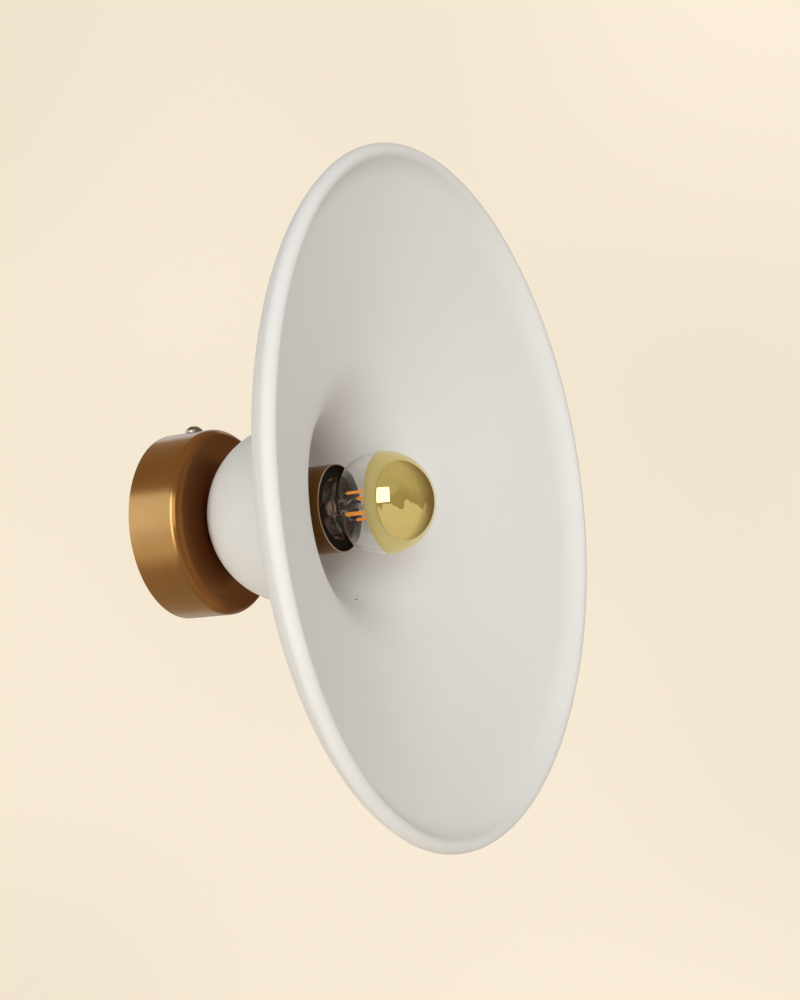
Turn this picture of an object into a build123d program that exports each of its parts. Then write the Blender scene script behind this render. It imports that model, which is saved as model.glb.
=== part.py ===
from build123d import *

import os
from math import acos, asin, cos, degrees, radians, sin, sqrt

# A ceramic wall light: a trumpet-shaped shade on a round metal canopy, with a half-mirrored globe bulb.
# Each piece is drawn wall side down: Z is the distance from the wall, Y is up and X is to the right.
# hang() then stands it against the wall, so that the light points along -Y and up is +Z.

# Driving dimensions in millimetres and degrees

# Room left between pieces
slip = 0.1  # a rod in its hole, a sleeve in its tube
turning_gap = 0.3  # pieces that turn or slide past each other
ceramic_room = 0.6  # a rod in a fired hole

# Canopy and its screw
canopy_diameter = 84.5
canopy_depth = 25.5
canopy_wall = 1.0
canopy_edge_radius = 4.5
fixing_height = 10.0  # side screw and locating pip, from the wall
screw_diameter = 4.0
screw_length = 8.0
screw_head_diameter = 8.0
screw_head_height = 3.0
screw_slot_width = 0.9
screw_slot_share = 0.75  # slot's length, of the head's width

# Wall bracket
bracket_thickness = 1.5
bracket_width = 20.0
bracket_bend = 1.0
tab_width = 12.0
tab_length = 16.0
slot_spacing = 50.0
slot_width = 4.5
slot_length = 14.0
cable_hole_diameter = 14.0
pip_diameter = 4.0
ear_width = 16.0

# Shade
shade_diameter = 300.0
shade_wall = 6.5
shade_base = 6.5
dome_radius = 40.5
seat_radius = 20.0
throat_drop = 2.5  # throat's centre, behind the dome's
throat_radius = 48.0
cone_slope = 21.0
curl_radius = 15.0
curl_angle = 62.0

# Centre rod, its nuts, washers and gaskets
nipple_diameter = 10.0
nipple_bore = 8.0
nipple_proud = 2.5
nut_flats = 14.0
nut_thickness = 3.5
washer_thickness = 0.8
washer_diameter = 17.0
washer_teeth = 12
tooth_length = 1.6
tooth_width = 1.8
gasket_thickness = 0.8
gasket_inset = 2.5
tag_reach = 14.5
tag_width = 5.0

# Socket cup and lamp holder
cup_diameter = 39.0
cup_wall = 0.5
cup_length = 49.1
cup_edge_radius = 2.0
holder_recess = 1.5
holder_floor = 3.0
terminal_room = 7.0
carrier_thickness = 4.0
carrier_ledge = 1.5
mouth_lip = 3.0
shell_wall = 1.0
shell_flange = 0.8
shell_flange_hole = 8.0
contact_thickness = 0.5
contact_rise = 1.2
contact_width = 4.0
terminal_offset = 4.7
terminal_size = 4.2
terminal_depth = 3.2

# Edison thread of the bulb and holder
thread_pitch = 3.62
thread_root_radius = 12.1
thread_crest_radius = 13.1
thread_bead_radius = 0.9
cap_thread_turns = 3.5
holder_thread_turns = 4.0

# Bulb
bulb_diameter = 45.0
glass_wall = 0.8
glass_neck_radius = 12.3
neck_straight = 1.1
neck_flare_radius = 10.6
crown_edge = 2.4  # mirror's edge, in front of the globe's middle
crown_thickness = 0.15
cap_length = 26.1
cap_wall = 0.5
collar_length = 4.0
insulator_depth = 4.0
tip_radius = 4.6
tip_height = 1.6
filament_count = 4
filament_length = 30.0
filament_width = 1.9
filament_thickness = 1.0
filament_edge = 0.3
filament_circle_radius = 6.8
filament_turn = 31.0  # first filament, up from the right
filament_wire_diameter = 0.6
stem_press_radius = 2.4
filament_headroom = 9.2  # behind the globe's front
stem_press_length = 4.0
stem_rod_radius = 1.2
board_thickness = 1.2
capacitor_diameter = 8.0
capacitor_length = 7.0

# Wiring in the canopy
wire_diameter = 2.4
conductor_diameter = 1.2
strip_length = 4.0
wire_offset = 2.4
holder_bend = 2.0
canopy_bend = 4.4
block_ways = 3
way_pitch = 8.0
block_width = 14.0
block_height = 12.0
block_offset = 15.0
tube_diameter = 4.4
tube_bore = 2.8
block_screw_diameter = 3.0
well_diameter = 3.8
way_screw_length = 4.0
earth_offset = 17.0
earth_washer_thickness = 0.8
earth_head_diameter = 7.0

# Planes of the assembly, as distances from the wall, worked out from the sizes above
canopy_radius = canopy_diameter / 2
canopy_inside = canopy_depth - canopy_wall
nipple_radius = nipple_diameter / 2
tag_back = canopy_inside - washer_thickness
washer_back = tag_back - washer_thickness
canopy_nut_back = washer_back - nut_thickness
nipple_back = canopy_nut_back - nipple_proud
shade_seat = canopy_depth + gasket_thickness
shade_floor = shade_seat + shade_base
cup_back = shade_floor + gasket_thickness
cup_floor = cup_back + cup_wall
cup_rim = cup_back + cup_length
cup_radius = cup_diameter / 2
cup_nut_front = cup_floor + nut_thickness
holder_inside = cup_nut_front + holder_floor
carrier_back = holder_inside + terminal_room
carrier_front = carrier_back + carrier_thickness
holder_front = cup_rim - holder_recess
holder_radius = cup_radius - cup_wall - slip

# Thread radii of the holder stand clear of the bulb's
shell_bore_radius = thread_crest_radius + turning_gap
shell_crest_radius = thread_root_radius + turning_gap
shell_radius = shell_bore_radius + shell_wall
carrier_radius = shell_radius + slip + carrier_ledge

# Bulb planes, from its contact outwards
tip_back = carrier_front + contact_rise + turning_gap
cap_front = tip_back + cap_length
collar_back = cap_front - collar_length
insulator_back = tip_back + tip_height
insulator_front = insulator_back + insulator_depth
globe_radius = bulb_diameter / 2
flare_reach = sqrt((globe_radius + neck_flare_radius) ** 2 - (glass_neck_radius + neck_flare_radius) ** 2)
neck_front = cap_front + neck_straight
globe_centre = neck_front + flare_reach
globe_front = globe_centre + globe_radius
glass_back = collar_back + turning_gap
cap_thread_start = insulator_front + thread_bead_radius + turning_gap
holder_thread_start = cap_thread_start - thread_pitch
filament_front = globe_front - glass_wall - filament_headroom
filament_back = filament_front - filament_length
stem_front = filament_back - stem_rod_radius
stem_flare_front = stem_front - stem_press_length

# Heights on the wall
bracket_reach = sqrt((canopy_radius - canopy_wall - turning_gap) ** 2 - (tab_width / 2) ** 2)


def hang(shape):
    """Stand a piece that was drawn wall side down against the wall."""
    return Rot(90, 0, 0) * shape


def lathe(edges):
    """Spin a closed outline of radius and distance about the light's axis."""
    return revolve(Plane.XZ * make_face(edges), Axis.Z)


def spun(*points):
    """Spin a closed outline of straight edges."""
    return lathe(Polyline(*points, close=True))


def rod(radius, back, front):
    """A round rod on the light's axis."""
    return Pos(0, 0, back) * Cylinder(radius, front - back, align=(Align.CENTER, Align.CENTER, Align.MIN))


def ring(outer, inner, back, front):
    """A round washer or tube on the light's axis."""
    return rod(outer, back, front) - rod(inner, back, front)


def block(width, height, back, front):
    """A box centred on the light's axis."""
    return Pos(0, 0, back) * Box(width, height, front - back, align=(Align.CENTER, Align.CENTER, Align.MIN))


def hex_nut(back):
    """A hexagon nut on the centre rod."""
    outline = RegularPolygon(nut_flats / 2, 6, major_radius=False)
    body = Pos(0, 0, back) * extrude(outline, nut_thickness)
    return body - rod(nipple_radius + slip, back, back + nut_thickness)


def tube_on(path, diameter):
    """A round wire swept along a path of straight runs and arcs."""
    section = Plane(origin=path @ 0, z_dir=path % 0) * Circle(diameter / 2)
    return sweep(section, path=path)


def insulated_wire(points, radii, start_strip, end_strip):
    """An insulated wire with a stripped length of conductor at each end."""
    path = FilletPolyline(*points, radius=radii)
    start = Plane(origin=path @ 0, z_dir=path % 0 * -1)
    end = Plane(origin=path @ 1, z_dir=path % 1)
    start_stub = start * rod(conductor_diameter / 2, 0, start_strip)
    end_stub = end * rod(conductor_diameter / 2, 0, end_strip)
    return tube_on(path, wire_diameter) + start_stub + end_stub


def thread_bead(radius, back, turns, phase):
    """A round ridge on a right-hand helix, the form of an Edison thread."""
    path = Pos(0, 0, back) * Rot(0, 0, phase) * Helix(thread_pitch, thread_pitch * turns, radius)
    section = Plane(origin=path @ 0, z_dir=path % 0) * Circle(thread_bead_radius)
    return sweep(section, path=path, is_frenet=True)


def pan_screw(shank_diameter, head_diameter, head_height, length):
    """A domed screw with a cross recess, its head's underside at zero and its shank below."""
    radius = head_diameter / 2
    side = head_height / 3
    rise = head_height - side
    dome = (radius**2 + rise**2) / (2 * rise)
    dome_turn = degrees(acos((dome - rise) / dome))
    head = lathe(
        [
            Line((0, 0), (radius, 0)),
            Line((radius, 0), (radius, side)),
            CenterArc((0, head_height - dome), dome, 90 - dome_turn, dome_turn),
            Line((0, head_height), (0, 0)),
        ]
    )
    shank = rod(shank_diameter / 2 - slip, -length, 0)
    slot = block(screw_slot_width, screw_slot_share * head_diameter, head_height / 2, head_height)
    return head + shank - slot - Rot(0, 0, 90) * slot


# Wall bracket: a strap with bent ends, a tapped tab on top and a locating pip below
def wall_bracket():
    inside = bracket_reach - bracket_thickness
    side = Polyline(
        (-bracket_reach, 0),
        (bracket_reach, 0),
        (bracket_reach, tab_length),
        (inside, tab_length),
        (inside, bracket_thickness),
        (-inside, bracket_thickness),
        (-inside, tab_length),
        (-bracket_reach, tab_length),
        close=True,
    )
    outline = make_face(side)
    corners = outline.vertices()
    outline = fillet([v for v in corners if v.Y < slip], bracket_bend + bracket_thickness)
    low = [v for v in outline.vertices() if slip < v.Y < tab_length / 2]
    outline = fillet([v for v in low if abs(v.X) < bracket_reach - slip], bracket_bend)
    strip = extrude(Plane.YZ * outline, tab_width / 2, both=True)
    flat_half = inside - bracket_bend - slip
    plate = block(bracket_width, 2 * flat_half, 0, bracket_thickness)
    ear_reach = block_offset + block_width
    ears = block(2 * ear_reach, ear_width, 0, bracket_thickness)
    shape = strip + fillet((plate + ears).edges().filter_by(Axis.Z), bracket_bend)
    shape -= rod(cable_hole_diameter / 2, 0, bracket_thickness)
    for side_sign in (-1, 1):
        slot = extrude(Rot(0, 0, 90) * SlotOverall(slot_length, slot_width), bracket_thickness)
        shape -= Pos(0, side_sign * slot_spacing / 2, 0) * slot
    for x, y in block_screw_places():
        shape -= Pos(x, y, 0) * rod(block_screw_diameter / 2, 0, bracket_thickness)
    shape -= Pos(-earth_offset, 0, 0) * rod(screw_diameter / 2, 0, bracket_thickness)
    tap = Rot(90, 0, 0) * rod(screw_diameter / 2, 0, bracket_thickness)
    tapped = Pos(0, bracket_reach, fixing_height) * tap
    pip_height = canopy_radius - canopy_wall / 2 - bracket_reach
    pip = Pos(0, -bracket_reach, fixing_height) * Rot(90, 0, 0) * rod(pip_diameter / 2, 0, pip_height)
    return shape - tapped + pip


# Canopy: a spun cup that hides the bracket and wiring
def canopy():
    inner_edge = canopy_edge_radius - canopy_wall
    flat = canopy_radius - canopy_edge_radius
    shoulder = canopy_depth - canopy_edge_radius
    hole = nipple_radius + slip
    edges = [
        Line((canopy_radius, 0), (canopy_radius, shoulder)),
        JernArc((canopy_radius, shoulder), (0, 1), canopy_edge_radius, 90),
        Line((flat, canopy_depth), (hole, canopy_depth)),
        Line((hole, canopy_depth), (hole, canopy_inside)),
        Line((hole, canopy_inside), (flat, canopy_inside)),
        JernArc((flat, canopy_inside), (1, 0), inner_edge, -90),
        Line((canopy_radius - canopy_wall, shoulder), (canopy_radius - canopy_wall, 0)),
        Line((canopy_radius - canopy_wall, 0), (canopy_radius, 0)),
    ]
    shape = lathe(edges)
    screw_hole = Rot(-90, 0, 0) * rod(screw_diameter / 2 + slip, 0, canopy_radius)
    pip_hole = Rot(90, 0, 0) * rod(pip_diameter / 2 + turning_gap, 0, canopy_radius)
    return shape - Pos(0, 0, fixing_height) * screw_hole - Pos(0, 0, fixing_height) * pip_hole


def canopy_screw():
    screw = pan_screw(screw_diameter, screw_head_diameter, screw_head_height, screw_length)
    return Pos(0, canopy_radius, fixing_height) * Rot(-90, 0, 0) * screw


# Centre rod and what it clamps
def nipple():
    return ring(nipple_radius, nipple_bore / 2, nipple_back, holder_inside)


def lock_washer():
    shape = ring(washer_diameter / 2, nipple_radius + slip, washer_back, tag_back)
    tooth = block(tooth_length * 2, tooth_width, washer_back, tag_back)
    for turn in range(washer_teeth):
        shape += Rot(0, 0, turn * 360 / washer_teeth) * Pos(washer_diameter / 2, 0, 0) * tooth
    return shape


def earth_tag():
    """A ring under the nut with a tongue that the earth wire is soldered to."""
    eye = rod(washer_diameter / 2, tag_back, canopy_inside)
    tongue = Pos(0, -tag_reach / 2, 0) * block(tag_width, tag_reach, tag_back, canopy_inside)
    wire_hole = rod(conductor_diameter / 2 + slip, tag_back, canopy_inside)
    rod_hole = rod(nipple_radius + slip, tag_back, canopy_inside)
    return eye + tongue - rod_hole - Pos(0, -earth_wire_height(), 0) * wire_hole


def earth_wire_height():
    """How far below the axis the earth wire meets its tag."""
    return tag_reach - tag_width / 2 + wire_diameter / 4


def canopy_gasket():
    return ring(seat_radius - gasket_inset, nipple_radius + slip, canopy_depth, shade_seat)


def cup_gasket():
    return ring(cup_radius - gasket_inset, nipple_radius + slip, shade_floor, cup_back)


# Shade: dome, trumpet throat, cone and curled lip, one wall thick
def ceramic_shade():
    neck = dome_radius - shade_wall
    slope = radians(cone_slope)
    curl = radians(curl_angle)
    dome_z = shade_seat + sqrt(dome_radius**2 - seat_radius**2)
    throat_reach = neck + throat_radius
    throat = Vector(sqrt(throat_reach**2 - throat_drop**2), dome_z - throat_drop)
    throat_angle = degrees(asin(throat_drop / throat_reach))
    up_slope = Vector(cos(slope), sin(slope))
    behind_slope = Vector(sin(slope), -cos(slope))
    behind_curl = Vector(sin(curl), -cos(curl))
    cone_start = throat - behind_slope * throat_radius
    lip_radius = shade_wall / 2
    curl_end_x = shade_diameter / 2 - lip_radius * (1 + sin(curl))
    cone_end_x = curl_end_x - curl_radius * (sin(curl) - sin(slope))
    cone_end = cone_start + up_slope * ((cone_end_x - cone_start.X) / cos(slope))
    curl_centre = cone_end - behind_slope * curl_radius
    curl_end = curl_centre + behind_curl * curl_radius
    back_cone_end = cone_end + behind_slope * shade_wall
    back_cone_start = cone_start + behind_slope * shade_wall
    back_curl_end = curl_end + behind_curl * shade_wall
    lip_tip = curl_end + behind_curl * lip_radius + Vector(cos(curl), sin(curl)) * lip_radius
    hole = nipple_radius + ceramic_room
    floor_radius = sqrt(neck**2 - (dome_z - shade_floor) ** 2)
    floor_angle = degrees(asin((dome_z - shade_floor) / neck))
    seat_angle = degrees(asin((dome_z - shade_seat) / dome_radius))
    edges = [
        Line((hole, shade_seat), (hole, shade_floor)),
        Line((hole, shade_floor), (floor_radius, shade_floor)),
        CenterArc((0, dome_z), neck, -floor_angle, floor_angle - throat_angle),
        CenterArc(throat, throat_radius, 180 - throat_angle, cone_slope + throat_angle - 90),
        Line(cone_start, cone_end),
        CenterArc(curl_centre, curl_radius, cone_slope - 90, curl_angle - cone_slope),
        ThreePointArc(curl_end, lip_tip, back_curl_end),
        CenterArc(curl_centre, curl_radius + shade_wall, curl_angle - 90, cone_slope - curl_angle),
        Line(back_cone_end, back_cone_start),
        CenterArc(throat, throat_radius - shade_wall, 90 + cone_slope, 90 - cone_slope - throat_angle),
        CenterArc((0, dome_z), dome_radius, -throat_angle, throat_angle - seat_angle),
        Line((seat_radius, shade_seat), (hole, shade_seat)),
    ]
    return lathe(edges)


# Socket cup and lamp holder
def socket_cup():
    hole = nipple_radius + slip
    inside = cup_radius - cup_wall
    flat = cup_radius - cup_edge_radius
    bend = cup_back + cup_edge_radius
    edges = [
        Line((hole, cup_back), (flat, cup_back)),
        JernArc((flat, cup_back), (1, 0), cup_edge_radius, 90),
        Line((cup_radius, bend), (cup_radius, cup_rim)),
        Line((cup_radius, cup_rim), (inside, cup_rim)),
        Line((inside, cup_rim), (inside, bend)),
        JernArc((inside, bend), (0, -1), cup_edge_radius - cup_wall, -90),
        Line((flat, cup_floor), (hole, cup_floor)),
        Line((hole, cup_floor), (hole, cup_back)),
    ]
    return lathe(edges)


def holder_base():
    """The black cup that screws on the rod and takes the contact carrier on its ledge."""
    pocket = carrier_radius - carrier_ledge
    return spun(
        (nipple_radius + slip, cup_nut_front),
        (holder_radius, cup_nut_front),
        (holder_radius, carrier_front),
        (carrier_radius + slip, carrier_front),
        (carrier_radius + slip, carrier_back),
        (pocket, carrier_back),
        (pocket, holder_inside),
        (nipple_radius + slip, holder_inside),
    )


def holder_sleeve():
    """The black front sleeve, with a lip that keeps the screw shell in."""
    mouth = thread_crest_radius + 2 * turning_gap
    bore = shell_radius + slip
    return spun(
        (bore, carrier_front),
        (holder_radius, carrier_front),
        (holder_radius, holder_front),
        (mouth, holder_front),
        (mouth, holder_front - mouth_lip),
        (bore, holder_front - mouth_lip),
    )


def contact_carrier():
    """The insulating disc that holds both contacts."""
    shape = rod(carrier_radius, carrier_back, carrier_front)
    for side_sign in (-1, 1):
        slot = block(contact_width + 2 * slip, contact_thickness + 2 * slip, carrier_back, carrier_front)
        shape -= Pos(0, side_sign * post_offset(side_sign), 0) * slot
    return shape


def post_offset(side_sign):
    """The side contact's post stands under the shell's flange, the centre contact's nearer the axis."""
    if side_sign < 0:
        return shell_flange_hole + contact_thickness + turning_gap
    return terminal_offset


def screw_shell():
    front = holder_front - mouth_lip
    flange = ring(shell_radius, shell_flange_hole, carrier_front, carrier_front + shell_flange)
    tube = ring(shell_radius, shell_bore_radius, carrier_front, front)
    bead_circle = shell_crest_radius + thread_bead_radius
    return flange + tube + thread_bead(bead_circle, holder_thread_start, holder_thread_turns, 180)


def terminal(side_sign):
    """A clamp behind the carrier, bored for the wire's conductor."""
    body = block(terminal_size, terminal_size, carrier_back - terminal_depth, carrier_back)
    bore = rod(conductor_diameter / 2 + slip, carrier_back - terminal_depth, carrier_back)
    return Pos(0, side_sign * terminal_offset, 0) * (body - bore)


def centre_contact():
    """A terminal, a post through the carrier and a sprung leaf under the bulb's tip."""
    height = post_offset(1)
    post = Pos(0, height, 0) * block(contact_width, contact_thickness, carrier_back, carrier_front)
    top = carrier_front + contact_rise
    half = contact_thickness / 2
    leaf_outline = Polyline(
        (height + half, carrier_front),
        (height + half, carrier_front + contact_thickness),
        (0, top),
        (-height / 2, top - contact_thickness),
        (-height / 2, top - 2 * contact_thickness),
        (0, top - contact_thickness),
        (height - half, carrier_front),
        close=True,
    )
    leaf = extrude(Plane.YZ * make_face(leaf_outline), contact_width / 2, both=True)
    return terminal(1) + post + leaf


def side_contact():
    """A terminal and a post that bears on the screw shell's flange."""
    height = post_offset(-1)
    post = Pos(0, -height, 0) * block(contact_width, contact_thickness, carrier_back, carrier_front)
    inner_end = terminal_offset + terminal_size / 2 - contact_thickness
    foot_length = height + contact_thickness / 2 - inner_end
    foot = block(contact_width, foot_length, carrier_back - contact_thickness, carrier_back)
    return terminal(-1) + post + Pos(0, -inner_end - foot_length / 2, 0) * foot


def terminal_screws():
    """One clamp screw in the side of each terminal."""
    middle = carrier_back - terminal_depth / 2
    head = terminal_depth / 2
    screw = Pos(terminal_size / 2, 0, middle) * Rot(0, 90, 0) * rod(head, 0, head)
    return Compound([Pos(0, sign * terminal_offset, 0) * screw for sign in (-1, 1)])


# Bulb
def bulb_cap():
    """The threaded metal cap: a cone behind, a threaded barrel and a plain collar."""
    barrel_back = insulator_front
    cone_radius = thread_root_radius - cap_wall
    body = spun(
        (cone_radius - insulator_depth / 2, insulator_back + insulator_depth / 2),
        (thread_root_radius, barrel_back),
        (thread_root_radius, collar_back - turning_gap),
        (thread_crest_radius, collar_back),
        (thread_crest_radius, cap_front),
        (0, cap_front),
        (0, insulator_back + insulator_depth / 2),
    )
    bead_circle = thread_crest_radius - thread_bead_radius
    body += thread_bead(bead_circle, cap_thread_start, cap_thread_turns, 0)
    hollow = spun(
        (0, insulator_back),
        (cone_radius - insulator_depth, insulator_back),
        (cone_radius, barrel_back),
        (cone_radius, collar_back),
        (thread_crest_radius - cap_wall, collar_back),
        (thread_crest_radius - cap_wall, cap_front),
        (0, cap_front),
    )
    return body - hollow


def cap_insulator():
    """The dark glass cone between the cap's barrel and its contact."""
    rear = thread_root_radius - cap_wall - insulator_depth - slip
    front = thread_root_radius - cap_wall - slip
    lead_hole = filament_wire_diameter / 2 + slip
    return spun(
        (lead_hole, insulator_back),
        (rear, insulator_back),
        (front, insulator_front),
        (front - insulator_depth / 2, insulator_front),
        (lead_hole, insulator_back + insulator_depth / 2),
    )


def cap_contact():
    """The bulb's centre contact, a shallow button."""
    return spun(
        (0, tip_back),
        (tip_radius / 2, tip_back),
        (tip_radius, tip_back + tip_height / 2),
        (tip_radius, insulator_back),
        (0, insulator_back),
    )


def globe_edges(inset):
    """Neck, flare and globe of the bulb, drawn inside the outer face by an inset."""
    neck = glass_neck_radius - inset
    globe = globe_radius - inset
    flare = neck_flare_radius + inset
    flare_centre = Vector(glass_neck_radius + neck_flare_radius, neck_front)
    flare_turn = degrees(asin(flare_reach / (globe_radius + neck_flare_radius)))
    return [
        Line((neck, glass_back), (neck, neck_front)),
        CenterArc(flare_centre, flare, 180, -flare_turn),
        CenterArc((0, globe_centre), globe, -flare_turn, 90 + flare_turn),
    ]


def bulb_glass():
    outer = globe_edges(0)
    inner = globe_edges(glass_wall)
    ends = [
        Line((0, globe_front), (0, globe_front - glass_wall)),
        Line((glass_neck_radius - glass_wall, glass_back), (glass_neck_radius, glass_back)),
    ]
    return lathe(outer + inner + ends)


def mirror_crown():
    """The mirrored coating on the front of the globe."""
    inner = globe_radius + slip
    outer = inner + crown_thickness
    inner_edge = degrees(asin(crown_edge / inner))
    outer_edge = degrees(asin(crown_edge / outer))
    inner_arc = CenterArc((0, globe_centre), inner, inner_edge, 90 - inner_edge)
    outer_arc = CenterArc((0, globe_centre), outer, outer_edge, 90 - outer_edge)
    edges = [
        inner_arc,
        outer_arc,
        Line(inner_arc @ 0, outer_arc @ 0),
        Line(inner_arc @ 1, outer_arc @ 1),
    ]
    return lathe(edges)


def bulb_stem():
    """The glass mount: a flare that closes the neck, a press and a thin rod."""
    flare = glass_neck_radius - glass_wall - turning_gap
    rod_front = filament_front + 4 * filament_wire_diameter
    return spun(
        (0, glass_back),
        (flare, glass_back),
        (flare, glass_back + stem_rod_radius),
        (stem_press_radius, stem_flare_front),
        (stem_press_radius, stem_front),
        (stem_rod_radius, stem_front),
        (stem_rod_radius, rod_front),
        (0, rod_front),
    )


def around(shape):
    """Copies of a piece on the filaments' circle."""
    turns = [filament_turn + turn * 360 / filament_count for turn in range(filament_count)]
    return Compound([Rot(0, 0, angle) * shape for angle in turns])


def led_filaments():
    outline = RectangleRounded(filament_thickness, filament_width, filament_edge)
    strip = Pos(filament_circle_radius, 0, filament_back) * extrude(outline, filament_length)
    return around(strip)


def lower_filament_wires():
    """Bent wires from the stem's press to the back end of each filament."""
    bend = 2 * filament_wire_diameter
    height = filament_back - 3 * filament_wire_diameter
    points = [
        (stem_press_radius + slip, 0, height),
        (filament_circle_radius, 0, height),
        (filament_circle_radius, 0, filament_back),
    ]
    return around(tube_on(FilletPolyline(*points, radius=bend), filament_wire_diameter))


def upper_filament_wires():
    """Bent wires that join the filaments' front ends to the stem's rod."""
    bend = 2 * filament_wire_diameter
    height = filament_front + 3 * filament_wire_diameter
    points = [
        (stem_rod_radius + slip, 0, height),
        (filament_circle_radius, 0, height),
        (filament_circle_radius, 0, filament_front),
    ]
    return around(tube_on(FilletPolyline(*points, radius=bend), filament_wire_diameter))


def board_back():
    return insulator_front + capacitor_length + turning_gap


def driver_board():
    radius = thread_root_radius - cap_wall - turning_gap
    return rod(radius, board_back(), board_back() + board_thickness)


def driver_capacitor():
    return Pos(capacitor_diameter / 2 + stem_rod_radius, 0, 0) * rod(
        capacitor_diameter / 2, board_back() - capacitor_length, board_back()
    )


def driver_leads():
    """Two wires from the board to the stem, and one from the board to the centre contact."""
    front = board_back() + board_thickness
    lead = rod(filament_wire_diameter / 2, front, glass_back)
    pair = [Pos(0, sign * stem_press_radius, 0) * lead for sign in (-1, 1)]
    return Compound(pair + [rod(filament_wire_diameter / 2, insulator_back, board_back())])


# Wiring in the canopy
def way_heights():
    """Heights of the terminal block's ways, top one first."""
    return [(block_ways - 1 - 2 * way) * way_pitch / 2 for way in range(block_ways)]


def block_screw_places():
    """The block is screwed down between its ways."""
    heights = way_heights()
    middle = block_offset + block_width / 2
    return [(middle, (upper + lower) / 2) for upper, lower in zip(heights, heights[1:])]


def way_screw_places():
    quarter = block_width / 4
    columns = (block_offset + quarter, block_offset + block_width - quarter)
    return [(x, y) for y in way_heights() for x in columns]


def tube_height():
    """The ways' axis, half-way up the block."""
    return bracket_thickness + block_height / 2


def terminal_block():
    length = block_ways * way_pitch
    base = block(block_width, length, bracket_thickness, bracket_thickness + block_height)
    shape = Pos(block_offset + block_width / 2, 0, 0) * fillet(base.edges().filter_by(Axis.Z), bracket_bend)
    way = Rot(0, 90, 0) * rod(tube_diameter / 2 + slip, 0, block_width)
    for height in way_heights():
        shape -= Pos(block_offset, height, tube_height()) * way
    for x, y in way_screw_places():
        shape -= Pos(x, y, 0) * rod(well_diameter / 2, tube_height(), bracket_thickness + block_height)
    for x, y in block_screw_places():
        shape -= Pos(x, y, 0) * rod(block_screw_diameter / 2 + slip, 0, bracket_thickness + block_height)
    return shape


def block_tubes():
    """The brass tubes that join the wires, each tapped for two clamp screws."""
    tube = Rot(0, 90, 0) * ring(tube_diameter / 2, tube_bore / 2, 0, block_width)
    tap = rod(way_screw_radius() + slip, tube_height(), tube_height() + tube_diameter)
    taps = [Pos(x, y, 0) * tap for x, y in way_screw_places()]
    return Compound([Pos(block_offset, height, tube_height()) * tube - taps for height in way_heights()])


def way_screw_radius():
    return tube_bore / 2 - slip


def block_clamp_screws():
    """Slotted clamp screws in the block's wells, down on the conductors."""
    back = tube_height() + conductor_diameter / 2 + slip
    front = back + way_screw_length
    screw = rod(way_screw_radius(), back, front)
    slot = block(2 * way_screw_radius(), screw_slot_width, front - screw_slot_width, front)
    return Compound([Pos(x, y, 0) * (screw - slot) for x, y in way_screw_places()])


def block_screws():
    head_height = block_screw_diameter / 2
    length = block_height + bracket_thickness
    screw = pan_screw(block_screw_diameter, way_pitch - well_diameter, head_height, length)
    top = bracket_thickness + block_height
    return Compound([Pos(x, y, top) * screw for x, y in block_screw_places()])


def live_wire():
    return holder_wire(1, way_heights()[0])


def neutral_wire():
    return holder_wire(-1, way_heights()[1])


def holder_wire(sign, way_height):
    """From a holder terminal, through the centre rod, round to its way of the block."""
    near = sign * wire_offset
    far = sign * terminal_offset
    terminal_end = carrier_back - terminal_depth
    entry = block_offset - slip
    points = [
        (0, far, terminal_end - slip),
        (0, far, terminal_end - wire_diameter / 2),
        (0, near, holder_inside + turning_gap),
        (0, near, tube_height()),
        (entry / 2, way_height, tube_height()),
        (entry, way_height, tube_height()),
    ]
    radii = [holder_bend, holder_bend, canopy_bend, canopy_bend]
    return insulated_wire(points, radii, terminal_depth - slip, strip_length)


def earth_wire():
    """From the tag on the centre rod to the block's lowest way."""
    low = -earth_wire_height()
    way_height = way_heights()[-1]
    entry = block_offset - slip
    points = [
        (0, low, tag_back - slip),
        (0, low, tube_height()),
        (entry / 2, way_height, tube_height()),
        (entry, way_height, tube_height()),
    ]
    return insulated_wire(points, [canopy_bend, canopy_bend], washer_thickness + slip, strip_length)


def earth_washer():
    """A square cup washer that keeps the incoming earth wire under its screw."""
    front = bracket_thickness + earth_washer_thickness
    square = block(screw_head_diameter, screw_head_diameter, bracket_thickness, front)
    hole = rod(screw_diameter / 2 + slip, bracket_thickness, front)
    return Pos(-earth_offset, 0, 0) * (square - hole)


def earth_screw():
    under_head = bracket_thickness + earth_washer_thickness
    screw = pan_screw(screw_diameter, earth_head_diameter, screw_head_height, under_head)
    return Pos(-earth_offset, 0, under_head) * screw


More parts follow.
